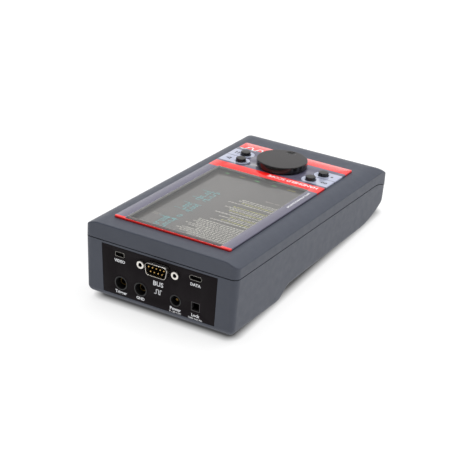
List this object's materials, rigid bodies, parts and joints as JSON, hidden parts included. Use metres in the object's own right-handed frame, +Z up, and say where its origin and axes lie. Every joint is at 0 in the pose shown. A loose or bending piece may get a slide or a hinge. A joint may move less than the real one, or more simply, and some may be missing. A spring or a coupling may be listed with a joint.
{
  "type": "handheld oscilloscope",
  "caption": "Handheld storage oscilloscope with a clear front plate, wide display, push dial, four keys and a connector end with bus, video, data and power sockets.",
  "frame": {"origin": "on the surface it rests on, under the middle of the bounding box", "axes": "+Y towards the connector end, +Z up, +X to the right for someone who looks at the display from the dial end; the case stands on its four feet, 4.9 degrees higher at the connector end"},
  "size_m": [0.11, 0.2143, 0.0552],
  "materials": {
    "shell": "fine matte moulded, slate grey",
    "seal": "matte black",
    "clear_plate": "polished clear",
    "plate_ink": "ink on the plate's back",
    "display_glass": "polished",
    "sheet_metal": "satin",
    "diffuser": "matte white",
    "foam": "matte black",
    "encoder_plastic": "satin black",
    "plated_steel": "bright nickel",
    "turned_aluminium": "satin",
    "knob_plastic": "satin top, gloss side",
    "key_plastic": "gloss black",
    "inner_plastic": "matte",
    "circuit_board": "green solder mask",
    "panel_plastic": "fine matte black",
    "contact_gold": "gold plated",
    "insulator": "matte black",
    "chip_resin": "matte black",
    "cell_case": "sleeved",
    "steel": "zinc plated",
    "insert_brass": "knurled",
    "foot_rubber": "matte",
    "label_film": "matte",
    "flat_cable": "film"
  },
  "bodies": {
    "instrument": {"battery_cells": "cell_case", "battery_plug": "inner_plastic", "battery_tray": "inner_plastic", "beeper": "chip_resin", "board_chips": "chip_resin", "board_screws": "steel", "bus_insulator": "insulator", "bus_nuts": "plated_steel", "bus_pins": "contact_gold", "bus_shell": "plated_steel", "case_screws": "steel", "case_seal": "seal", "connector_panel": "panel_plastic", "data_shell": "plated_steel", "data_tongue": "insulator", "display_backlight": "diffuser", "display_cell": "display_glass", "display_frame": "sheet_metal", "display_gasket": "foam", "display_ribbon": "flat_cable", "encoder_housing": "encoder_plastic", "encoder_nut": "plated_steel", "front_feet": "foot_rubber", "front_plate": "clear_plate", "ground_socket": "insulator", "key_switches": "inner_plastic", "keypad_board": "circuit_board", "lock_cup": "insulator", "lower_shell": "shell", "main_board": "circuit_board", "plate_print": "plate_ink", "power_board": "circuit_board", "power_jack": "insulator", "power_parts": "chip_resin", "power_pin": "plated_steel", "rating_label": "label_film", "rear_feet": "foot_rubber", "shield_can": "sheet_metal", "socket_contacts": "contact_gold", "thread_inserts": "insert_brass", "trigger_socket": "insulator", "upper_shell": "shell", "video_shell": "plated_steel", "video_tongue": "insulator"},
    "dial_stem": {"dial_plunger": "turned_aluminium"},
    "dial": {"dial_shaft": "turned_aluminium", "dial_knob": "knob_plastic"},
    "key_right_near": {"key_right_near": "key_plastic", "plunger_right_near": "inner_plastic"},
    "key_left_near": {"key_left_near": "key_plastic", "plunger_left_near": "inner_plastic"},
    "key_right_far": {"key_right_far": "key_plastic", "plunger_right_far": "inner_plastic"},
    "key_left_far": {"key_left_far": "key_plastic", "plunger_left_far": "inner_plastic"}
  },
  "joints": [
    {"name": "dial_push", "type": "slide", "parent": "instrument", "child": "dial_stem", "axis": [0, 0.0856, -0.9963], "range_m": [0, 0.0005], "stiffness_N_per_m": 1500, "springref_m": -0.0005},
    {"name": "dial_spin", "type": "hinge", "parent": "dial_stem", "child": "dial", "pos_m": [0, -0.04975, 0.04398], "axis": [0, -0.0856, 0.9963], "continuous": true},
    {"name": "right_near_press", "type": "slide", "parent": "instrument", "child": "key_right_near", "axis": [0, 0.0856, -0.9963], "range_m": [0, 0.0006], "stiffness_N_per_m": 400, "springref_m": -0.0003},
    {"name": "left_near_press", "type": "slide", "parent": "instrument", "child": "key_left_near", "axis": [0, 0.0856, -0.9963], "range_m": [0, 0.0006], "stiffness_N_per_m": 400, "springref_m": -0.0003},
    {"name": "right_far_press", "type": "slide", "parent": "instrument", "child": "key_right_far", "axis": [0, 0.0856, -0.9963], "range_m": [0, 0.0006], "stiffness_N_per_m": 400, "springref_m": -0.0003},
    {"name": "left_far_press", "type": "slide", "parent": "instrument", "child": "key_left_far", "axis": [0, 0.0856, -0.9963], "range_m": [0, 0.0006], "stiffness_N_per_m": 400, "springref_m": -0.0003}
  ]
}
